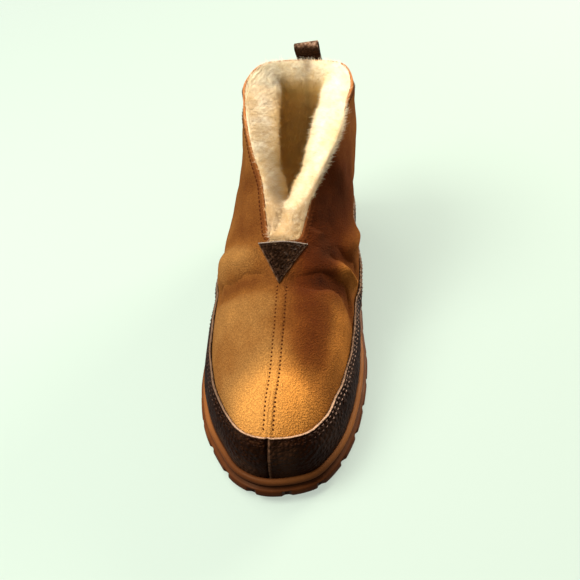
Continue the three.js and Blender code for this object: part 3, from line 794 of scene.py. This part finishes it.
def fleece_roll(u, wall, shut):
    """The roll, from the wall's top over to the suede's top line."""
    toe = from_toe(u)
    line = skin(u, 1, INSIDE)
    start = wall[:, -1]
    apart = unit(np.stack([side_of(u), 0 * u, 0 * u + 0.1], -1))
    rise_in = unit(start - wall[:, -4])
    rise_in = unit(rise_in + (apart - rise_in) * (0.9 * shut)[:, None])
    rise_out = unit(line - skin(u, 0.96, INSIDE))
    round_back = smooth(toe - 8.0, 2.5)
    high = np.minimum(10.0, 0.7 * norm(line - start)) * (1 - 0.35 * round_back)
    low = high * (0.75 - 0.5 * round_back)
    over = smooth(toe - 8.0, 1.2) * smooth(11.4 - toe, 1.2)
    over = over * np.where(u <= LAST, 1.0, 0.15)
    outward = unit(skin(u, 0.99, -2.0) - skin(u, 0.99))
    line = line + over[:, None] * (skin(u, 0.985, -0.8) - line)
    rise_out = unit(rise_out + 0.8 * over[:, None] * outward)
    open_part = (~on_ridge(u))[:, None]
    end = np.where(open_part, line, cavity_point(u, 1))
    in_handle = start + rise_in * np.where(open_part, (high + 3 * over)[:, None], 0)
    out_handle = end + rise_out * np.where(open_part, (low + 8 * over)[:, None], 0)
    return curve(*(p[:, None] for p in (start, in_handle, out_handle, end)), ROLL[None, :, None])


def inner_shade(points):
    """How far inside the shaft the pile lies, where it is painted browner as shade."""
    top = np.interp(points[..., 1], TOP_ALONG, TOP_HEIGHTS)
    return 0.95 * smooth(top - 1 - points[..., 2], 18)


def back_seam_shade(points):
    """Near the lining's own seam, up the back inside the collar: a dark line painted as the shade in the
    seam's crease, strongest near the top.
    """
    across = bell(points[..., 0] - 5, 3.2)
    return across * smooth(points[..., 1] - 95, 15) * (0.3 + 0.25 * smooth(points[..., 2] - 132, 12))


# Fibres
PILE_FIBRE, INSOLE_FIBRE = 3.6, 2.2
ROLL_FIBRES, WALL_FIBRES, INSOLE_FIBRES = 66000, 34000, 24000
FIBRE_HALF, FIBRE_ROOT, THIRD_TURN = 0.16, 0.6, 2.0944
LONG_SHARE, LONG_SIZE = 0.1, 1.6
LIGHT_LIFT, FIBRE_SAG = 0.12 * UP, -0.1 * UP


def make_fibres(name, points, normals, where, count, length, seed, slot):
    """Fibres that stand on a grid of points and lie over in one soft direction."""
    rng = np.random.default_rng(seed)
    a = points[:-1, :-1].reshape(-1, 3)
    e1 = points[1:, :-1].reshape(-1, 3) - a
    e2 = points[:-1, 1:].reshape(-1, 3) - a
    area = norm(np.cross(e1, e2)) * where[:-1, :-1].ravel()
    pick = rng.choice(len(a), count, p=area / area.sum())
    root = a[pick] + e1[pick] * rng.random((count, 1)) + e2[pick] * rng.random((count, 1))
    n = normals[:-1, :-1].reshape(-1, 3)[pick]
    lock = lumps(root, 2.8, seed + 1)[:, None]
    turn = lumps(root, 9, seed + 3)[:, None]
    lean = unit(unit(e1[pick]) * (0.2 * turn) - unit(e2[pick]) * 0.8 + rng.normal(0, 0.4, (count, 3)))
    way = unit(n * rng.uniform(0.6, 1.1, (count, 1)) + lean * 0.8 + FIBRE_SAG)
    size = length * rng.uniform(0.5, 1.1, (count, 1)) * (1 + 0.15 * lock)
    size = size * np.where(rng.random((count, 1)) < LONG_SHARE, LONG_SIZE, 1.0)
    tip = root + way * size
    first = unit(np.cross(way, n + 1e-3))
    second = np.cross(way, first)
    thick = FIBRE_HALF * rng.uniform(0.7, 1.3, (count, 1))
    root = root - n * FIBRE_ROOT
    rear = smooth(root[:, 1:2] - 85, 30)
    shade = n + 0.25 * lean + LIGHT_LIFT * (1 + rear)
    corners, shades = [], []
    for angle in THIRD_TURN * np.arange(3):
        spoke = first * math.cos(angle) + second * math.sin(angle)
        corners.append(root + spoke * thick)
        shades.append(unit(shade + 0.3 * spoke))
    corners = np.stack(corners + [tip], 1)
    shades = np.stack(shades + [unit(shade)], 1)
    base = np.arange(count)[:, None] * 4
    sides = np.concatenate([base + np.array([k, (k + 1) % 3, 3]) for k in range(3)])
    # Painted light and shade in the tone: tan low in the throat as shade, whiter on the lit medial side and
    # at the back
    low_throat = smooth(40 - root[:, 1:2], 40) * (0.6 + 0.4 * smooth(2 - root[:, :1], 5))
    medial = smooth(root[:, :1] + 4, 10) * (1 - 0.6 * low_throat)
    tone_and_light = rng.normal(0, 0.4, (count, 1)) + 0.5 * lock + 0.25 * lumps(root, 12, seed + 2)[:, None]
    tone_and_light = np.repeat(tone_and_light - 1.35 * low_throat + np.maximum(medial, rear) - 0.6, 4, 1)
    # Painted shade at the fibres' roots
    tone_and_light[:, :3] -= 0.7
    layers = {"deep_shade": inner_shade(corners), "tone_and_light": tone_and_light, "join": back_seam_shade(corners)}
    make_piece(name, corners, sides, FIBRE_LOOK, slot, layers=layers, normals=shades)


def make_fleece():
    u = ROUND * (np.arange(FLEECE_ROUNDS) + 0.5) / FLEECE_ROUNDS
    wall, shut = fleece_wall(u)
    points = np.concatenate([wall, fleece_roll(u, wall, shut)], 1)
    normal = grid_normals(points, True)
    shown = np.concatenate([np.ones_like(CAVITY), np.sqrt(1 - ROLL)])
    lift = shown * (0.6 * lumps(points, 18, 61) + 0.2 * lumps(points, 7, 62))
    points = points - normal * lift[..., None]
    solid = with_rows(points, [skin(u, share, INSIDE + depth) for share, depth in FLEECE_BACK])
    deep_shade = np.zeros(solid.shape[:2])
    deep_shade[:, :points.shape[1]] = inner_shade(points)
    # Painted shade: tan towards the throat
    tone_and_light = -0.3 - 0.8 * smooth(40 - solid[..., 1], 40)
    faces = tube_faces(FLEECE_ROUNDS, solid.shape[1], True)[:, ::-1]
    layers = {"deep_shade": deep_shade, "join": back_seam_shade(solid), "tone_and_light": tone_and_light}
    piece = make_piece("fleece_lining", solid, faces, FLEECE_LOOK, "pile", ["lining"], layers)
    opening = (~on_ridge(u))[:, None]
    row = np.arange(points.shape[1])
    on_roll = opening & (row >= len(CAVITY) - 4) & (row < len(row) - 1)
    on_wall = opening & (row >= 14) & (row < len(CAVITY))
    make_fibres("fleece_roll", points, -normal, on_roll, ROLL_FIBRES, PILE_FIBRE, 101, "pile")
    make_fibres("fleece_inside", points, -normal, on_wall, WALL_FIBRES, PILE_FIBRE, 202, "pile")


# Insole: a padded footbed with short pile. Rings of its side: height, inset
INSOLE_RINGS = [(0.2, 0), (3, 0.1), (6, 0.3), (INSOLE - 0.6, 1.2), (INSOLE, 2.6)]
INSOLE_ROUNDS = 220


def make_insole():
    inset = INSIDE + PILE_FOOT + GAP + 1
    u = ROUND * np.arange(INSOLE_ROUNDS) / INSOLE_ROUNDS
    rings = [skin(u, 0, inset + shrink) + height * UP for height, shrink in INSOLE_RINGS]
    rim = rings[-1]
    middle = np.stack([0 * u + 1.0, rim[:, 1] * 0.86, rim[:, 2]], -1)
    for k in np.linspace(0.06, 1, 24):
        flat = rim * (1 - k) + middle * k
        flat[:, 2] += 0.5 * lumps(flat, 26, 71) * smooth(k * 5) - 1.2 * smooth(k * 2)
        rings.append(flat)
    points = np.stack(rings, 1)
    rises = points.shape[1]
    base = (np.arange(INSOLE_ROUNDS) * rises)[None, ::-1]
    faces = [grid_faces(INSOLE_ROUNDS, rises, True), base]
    # Painted shade: the insole is tinted as the deep inside of the shaft
    deep_shade = np.full(points.shape[:2], 0.35)
    layers = {"deep_shade": deep_shade, "tone_and_light": deep_shade * 0}
    piece = make_piece("pile_insole", points, faces, FLEECE_LOOK, "insole_pile", ["insole"], layers)
    top = points[:, len(INSOLE_RINGS) - 1:]
    normal = grid_normals(top, True)
    everywhere = np.ones(top.shape[:2])
    make_fibres("insole_fibres", top, normal, everywhere, INSOLE_FIBRES, INSOLE_FIBRE, 303, "insole_pile")


# Moulded sole. Its side from the ground to the bead's top: inset, height
SOLE_PROFILE = np.array([
    [3, 0], [1.8, 0.05], [1.2, 0.3], [0.5, 1], [0.05, 1.9], [0, 3.4], [0.2, 5.2], [0.45, 6.2],
    [0.9, 6.75], [2, 7.05], [3, 7.4], [3.5, 7.9], [3.65, 8.6], [3.3, 9.2], [2.75, 9.6], [2.4, 10.2],
    [2.25, 11], [2.3, 11.9], [2.6, 12.8], [3.2, 13.5], [3.9, 13.88], [4.7, 14],
])
BEAD_START = 13
GROOVE_HEIGHT = 8.3
# The cup's inside: share of the way up to its lip, rise
CUP_RINGS = [(1.0, 0.15), (0.9, 0.2), (0.5, 0), (0.0, -GAP)]
LIP_HEIGHT = 6.6


def sole_rounds():
    """Places round the edge, closer at each notch, and how far each is from its notch."""
    fine = np.linspace(0, ROUND, 5601)
    plan, _ = edge(fine)
    run = np.concatenate([[0], np.cumsum(norm(np.diff(plan, axis=0)))])
    count = int(round(run[-1] / LUG_PITCH))
    pitch = run[-1] / count
    half = LUG_NOTCH / 2
    inner = np.array([0, 0.9, half - 0.6, half - 0.1, half + 0.5, half + 1.1, half + 1.7])
    rest = np.linspace(half + 2.3, pitch / 2, 7)[:-1]
    offsets = np.concatenate([inner, rest])
    offsets = np.concatenate([-offsets[:0:-1], offsets, [pitch / 2]])
    at = np.concatenate([(k + 0.5) * pitch + offsets for k in range(count)])
    return np.interp(at, run, fine), np.tile(np.abs(offsets), count)


def make_sole():
    u, off = sole_rounds()
    plan, normal = edge(u)
    rounds = len(u)
    notch = np.clip((LUG_NOTCH / 2 + 1.7 - off) / 2.3, 0, 1)
    # The soil layer is dirt and painted shade: darker in the channel, the notches, the groove, the cup and
    # at the toe
    rows, soil_and_shade = [], []

    def ring(inset, height, dirt_and_shade):
        xy = plan - normal * np.broadcast_to(inset, rounds)[:, None]
        arch = arch_lift(xy[:, 1]) * np.clip(1 - height / 4, 0, 1)
        rows.append(np.concatenate([xy, (height + toe_lift(xy[:, 1]) + arch)[:, None]], -1))
        soil_and_shade.append(np.broadcast_to(dirt_and_shade, rounds))

    ring(CHANNEL_INSET + CHANNEL_WIDTH, LUG_DEPTH - 0.2, 0.5)
    ring(CHANNEL_INSET + 0.2, LUG_DEPTH - 0.2, 0.5)
    ring(CHANNEL_INSET, 0.3 + (LUG_DEPTH - 0.5) * notch, 0.3 + 0.2 * notch)
    for inset in (CHANNEL_INSET - 0.5, 10.0, 6.0):
        ring(inset, LUG_DEPTH * notch, 0.15 + 0.35 * notch)
    bead_start = len(rows) + BEAD_START
    for inset, height in SOLE_PROFILE:
        bite = notch * smooth(NOTCH_HEIGHT + 0.3 - height, 0.6)
        lifted = np.maximum(height, LUG_DEPTH * notch * (inset > 1.5) * (height < 0.5))
        groove = 0.85 * bell(height - GROOVE_HEIGHT, 0.9)
        ring(np.maximum(inset, NOTCH_BITE * bite + inset * (1 - bite)), lifted, groove + 0.45 * bite)
    bead_end = len(rows)
    lip = share_at(u, CUP_FLOOR + LIP_HEIGHT + toe_lift(skin(u, 0)[:, 1]))
    for share, rise in CUP_RINGS:
        rows.append(skin(u, lip * share, -FOXING_GAP - FOXING - GAP) + rise * UP)
        soil_and_shade.append(np.full(rounds, 0.35))
    rises = len(rows)
    points = np.stack(rows, 1).reshape(-1, 3)
    floor_face = (np.arange(rounds) * rises + rises - 1)[None]
    field, field_faces = tread_field(len(points))
    faces = [grid_faces(rounds, rises, True), floor_face, field_faces]
    points = np.concatenate([points, field])
    soil_and_shade = np.concatenate([np.stack(soil_and_shade, 1).ravel(), np.full(len(field), 0.2)])
    # Painted shade at the toe's front
    soil_and_shade = np.clip(soil_and_shade + 0.55 * smooth(-points[:, 1] - 95, 50), 0, 1)
    # Painted highlight on the bead: stronger on the medial side, weaker at the toe in shade
    on_bead = np.zeros(rises)
    on_bead[bead_start:bead_end] = 0.8
    bead_highlight = np.concatenate([np.tile(on_bead, rounds), np.zeros(len(field))])
    bead_highlight *= 0.62 + 0.53 * smooth(points[:, 0] + 15, 30) - 0.45 * smooth(-points[:, 1] - 95, 45)
    layers = {"soil_and_shade": soil_and_shade, "bead_highlight": bead_highlight}
    piece = make_piece("gum_sole", points, faces, RUBBER_LOOK, "rubber", ["outsole"], layers)
    sharp = piece.modifiers.new("edges", "EDGE_SPLIT")
    sharp.split_angle = math.radians(50)


def tread_field(start):
    """The middle of the underside: bars across it, inside the channel."""
    fine = np.linspace(0, ROUND, 1400, endpoint=False)
    plan, normal = edge(fine)
    plan = plan - normal * (CHANNEL_INSET + CHANNEL_WIDTH)
    low, high = plan[:, 1].min() + 0.05, plan[:, 1].max() - 0.05
    count = int((LENGTH - 2 * CHANNEL_INSET) // BAR_PITCH)
    ys = np.linspace(low, high, 90).tolist()
    for k in range(count):
        middle = (k - (count - 1) / 2) * BAR_PITCH
        ys += [middle + side * BAR_GAP / 2 + step for side in (-1, 1) for step in (-BAR_SLANT, BAR_SLANT)]
    ys = np.array([low] + sorted(y for y in ys if low <= y <= high) + [high])
    off_bar = np.abs((ys / BAR_PITCH - (count - 1) / 2 + 0.5) % 1 - 0.5) * BAR_PITCH
    top = LUG_DEPTH + toe_lift(ys)
    bars = (LUG_DEPTH - 0.4) * (off_bar < BAR_GAP / 2) + toe_lift(ys) + arch_lift(ys)
    bars[[0, -1]] = top[[0, -1]]
    reach = []
    for line in (plan[fine > LAST], plan[fine <= LAST]):
        line = line[np.argsort(line[:, 1])]
        reach.append(np.interp(ys, line[:, 1], line[:, 0]))
    shares = np.concatenate([[0, 0], np.linspace(0.02, 0.98, 9), [1, 1]])
    points = []
    for k, share in enumerate(shares):
        x = reach[0] * (1 - share) + reach[1] * share
        points.append(np.stack([x, ys, top if k in (0, len(shares) - 1) else bars], -1))
    faces = grid_faces(len(shares), len(ys), False, start)[:, ::-1]
    return np.concatenate(points), faces


# Leather patch and loop: the solids' own forms, with soft edges. Voxel, passes of softening
PATCH_SOFT, LOOP_SOFT = (0.45, 3), (0.5, 4)


def rounded_copy(node, name, material, slot, voxel, passes):
    """A piece in a solid's form, and its points."""
    work = put(name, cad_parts[node].data.copy())
    remesh = work.modifiers.new("remesh", "REMESH")
    remesh.mode = "VOXEL"
    remesh.voxel_size = voxel * MM
    soften = work.modifiers.new("soften", "SMOOTH")
    soften.factor = 0.5
    soften.iterations = passes
    bpy.context.view_layer.update()
    mesh = bpy.data.meshes.new_from_object(work.evaluated_get(bpy.context.evaluated_depsgraph_get()))
    bpy.data.meshes.remove(work.data)
    mesh.name = name
    mesh.materials.clear()
    piece = settle(name, mesh, material, [node])
    points = np.empty(len(mesh.vertices) * 3)
    mesh.vertices.foreach_get("co", points)
    return piece, points.reshape(-1, 3) / MM


def make_patch():
    piece, points = rounded_copy("throat_patch", "leather_patch", PATCH_LOOK, "leather", *PATCH_SOFT)
    x, y, slant = patch_place(points)
    wear_and_glint = 0.5 * smooth(0.8 - slant, 0.7) * (0.6 + 0.4 * lumps(points, 5, 81))
    wear_and_glint = np.maximum(wear_and_glint, 0.1 * smooth(lumps(points, 4, 82) - 0.6))
    paint(piece.data, {"raw_edge_and_glint": smooth(1.1 + y, 0.7), "wear_and_glint": np.clip(wear_and_glint, 0, 1)})
    parts = []
    for sign in (-1, 1):
        a = np.array([sign * (PATCH_WIDTH / 2 - 3.6), -1.6])
        b = np.array([sign * 0.4, 4.6 - PATCH_HEIGHT])
        spots = a + (b - a) * np.linspace(0, 1, 60)[:, None]
        line = []
        for sx, sy in spots:
            best = np.argsort(np.abs(x - sx) + np.abs(y - sy))[:14]
            line.append(points[best][np.argmax(points[best] @ PATCH_UP)])
        line = np.array(line)
        line[:, 2] = evened(line[:, 2])
        line[:, 0] = PATCH_BASE[0] + spots[:, 0]
        bed = 0 * line + PATCH_UP + [sign * 0.25, 0, 0]
        parts.append(stitch_run(line, bed, *PATCH_STITCH))
    make_piece("patch_stitches", *join(parts), PATCH_THREAD, "leather")


def make_loop():
    piece, points = rounded_copy("pull_loop", "leather_loop", STRAP_LOOK, "strap_leather", *LOOP_SOFT)
    high = points.max(0)
    # Painted highlight, with wear, on the fold's top: lighter, with glints in the raw edge's colour
    lit_fold_top = smooth(points[:, 2] - high[2] + 5, 5)
    wear_and_glint = 0.75 * lit_fold_top * (0.6 + 0.4 * lumps(points, 4, 91))
    raw_edge_and_glint = 0.7 * lit_fold_top * smooth(0.3 + 0.6 * lumps(points, 2.6, 92))
    paint(piece.data, {"raw_edge_and_glint": raw_edge_and_glint, "wear_and_glint": np.clip(wear_and_glint, 0, 1)})
    leg = points[points[:, 1] > high[1] - 3.5]
    left, right = leg[:, 0].min() + 2.4, leg[:, 0].max() - 2.4
    bottom, top = leg[:, 2].min() + 2.2, leg[:, 2].min() + 12
    corners = np.array([(left, bottom), (right, bottom), (right, top), (left, top)])
    parts = []
    for a, b in zip(corners, np.roll(corners, -1, 0)):
        line = []
        for x, z in a + (b - a) * np.linspace(0, 1, 30)[:, None]:
            close = np.argsort(np.hypot(leg[:, 0] - x, leg[:, 2] - z))[:12]
            line.append([x, leg[close, 1].max(), z])
        line = np.array(line)
        line[:, 1] = evened(line[:, 1])
        parts.append(stitch_run(line, 0 * line + [0, 1, 0], *LOOP_STITCH))
    make_piece("loop_stitches", *join(parts), FOXING_THREAD, "strap_leather")


make_upper()
make_suede_stitches()
make_foxings()
make_fleece()
make_insole()
make_sole()
make_patch()
make_loop()

# Stage: a plain pale floor that fades into a pale backdrop, a soft sky and large soft lamps
PALE = srgb(241, 254, 240)
FLOOR_RADIUS, FLOOR_FADE = 1.2, (0.3, 1.1)
SKY_COLOR, SKY_STRENGTH = (1.0, 0.95, 0.86, 1), 0.27
LAMP_COLOR, RIM_COLOR = (1, 0.97, 0.9), (1, 0.9, 0.76)
# Name, place, aim, size, power, colour
LAMPS = [
    ("key", (-0.82, -0.25, 1.22), (0, 0, 0.06), 0.7, 28.5, LAMP_COLOR),
    ("top", (-0.3, 0.25, 1.25), (0, 0.05, 0.1), 0.5, 8, LAMP_COLOR),
    ("front", (0.05, -0.95, 1.15), (0, 0.06, 0.09), 0.6, 2.2, LAMP_COLOR),
    ("rim", (0.72, 1.0, 0.5), (0, 0, 0.06), 0.5, 19, RIM_COLOR),
]


def hide_from(piece, *rays):
    for ray in rays:
        setattr(piece, "visible_" + ray, False)


def make_floor():
    m = Nodes("pale_floor", 0.9, Specular_IOR_Level=0.1, Base_Color=srgb(123, 137, 126), Emission_Color=PALE,
              Emission_Strength=0.5)
    reach = m.add("ShaderNodeVectorMath", {0: m.place}, operation="LENGTH").outputs["Value"]
    clear = m.add("ShaderNodeBsdfTransparent", {})
    links = {0: m.span(reach, *FLOOR_FADE), 1: m.shader.outputs[0], 2: clear.outputs[0]}
    blend = m.add("ShaderNodeMixShader", links)
    m.fill(m.tree.nodes["Material Output"].inputs[0], blend.outputs[0])
    turns = np.linspace(0, 2 * math.pi, 64, endpoint=False)
    rim = [(FLOOR_RADIUS * math.cos(turn), FLOOR_RADIUS * math.sin(turn), 0) for turn in turns]
    mesh = bpy.data.meshes.new("floor")
    mesh.from_pydata(rim, [], [list(range(len(rim)))])
    mesh.materials.append(m.material)
    floor = put("floor", mesh)
    hide_from(floor, "glossy", "diffuse")


def make_backdrop():
    m = Nodes("backdrop", 1.0, Specular_IOR_Level=0.0, Base_Color=(0, 0, 0), Emission_Color=PALE,
              Emission_Strength=0.98)
    bpy.ops.mesh.primitive_uv_sphere_add(segments=48, ring_count=24, radius=9)
    backdrop = bpy.context.object
    backdrop.name = "backdrop"
    backdrop.data.materials.append(m.material)
    hide_from(backdrop, "diffuse", "glossy", "transmission", "shadow")


def make_light():
    world = bpy.data.worlds.new("studio")
    bpy.context.scene.world = world
    world.use_nodes = True
    sky = world.node_tree.nodes["Background"]
    sky.inputs["Color"].default_value = SKY_COLOR
    sky.inputs["Strength"].default_value = SKY_STRENGTH
    for name, at, aim, size, power, color in LAMPS:
        light = bpy.data.lights.new(name, "AREA")
        light.shape = "SQUARE"
        light.size = size
        light.energy = power
        light.color = color
        lamp = put(name, light)
        lamp.location = at
        lamp.rotation_euler = (Vector(aim) - Vector(at)).to_track_quat("-Z", "Y").to_euler()


make_floor()
make_backdrop()
make_light()

# Camera: where the photograph was taken from, turned to the one slipper
CAMERA_AT, CAMERA_AIM = Vector((0.08365, -0.4651, 0.4931)), Vector((0.003, -0.012, 0.052))
CAMERA_ROLL = math.radians(-5.1572)
view = bpy.data.cameras.new("camera")
view.lens = 57.2
view.sensor_width = 36
camera = put("camera", view)
level = (CAMERA_AIM - CAMERA_AT).to_track_quat("-Z", "Y")
camera.matrix_world = Matrix.LocRotScale(CAMERA_AT, level @ Quaternion((0, 0, 1), CAMERA_ROLL), None)
bpy.context.scene.camera = camera
bpy.context.scene.view_settings.view_transform = "Standard"

bpy.context.view_layer.update()
